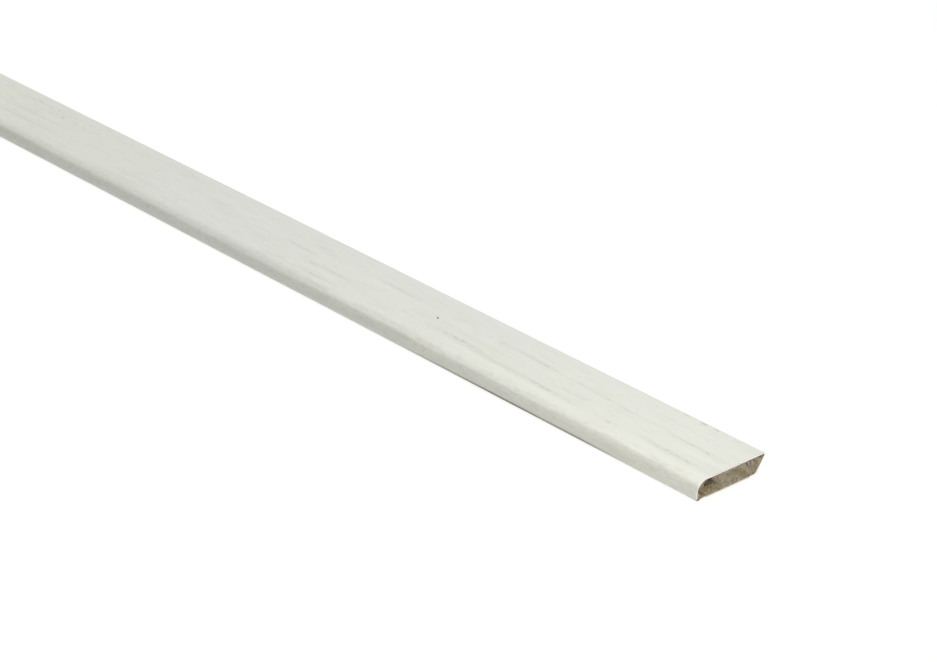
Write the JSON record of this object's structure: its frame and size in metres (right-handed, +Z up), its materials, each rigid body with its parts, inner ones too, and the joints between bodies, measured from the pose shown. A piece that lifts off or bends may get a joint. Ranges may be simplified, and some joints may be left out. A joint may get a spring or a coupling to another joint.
{
  "type": "self-adhesive skirting strip",
  "caption": "Long thin skirting strip: foil-wrapped wooden core with a rounded front edge, an undercut floor edge, and double-sided tape with a release liner along its back.",
  "frame": {"origin": "under the middle of the strip, centred in length and width, on the surface that it lies on", "axes": "+X along the length towards the cut end that the picture shows, +Y across the face from the rounded front to the sharp floor edge, +Z up out of the printed face"},
  "size_m": [2.4, 0.024, 0.0054],
  "materials": {
    "core_wood": "sawn softwood, bare on the cut ends and the back",
    "decor_foil": "satin decor foil printed as whitewashed wood, lightly embossed",
    "adhesive_tape": "milky double-sided tape",
    "release_liner": "glazed siliconised release paper"
  },
  "bodies": {
    "root": {"core": "core_wood", "decor_foil": "decor_foil", "adhesive_tape": "adhesive_tape", "release_liner": "release_liner"}
  },
  "joints": []
}
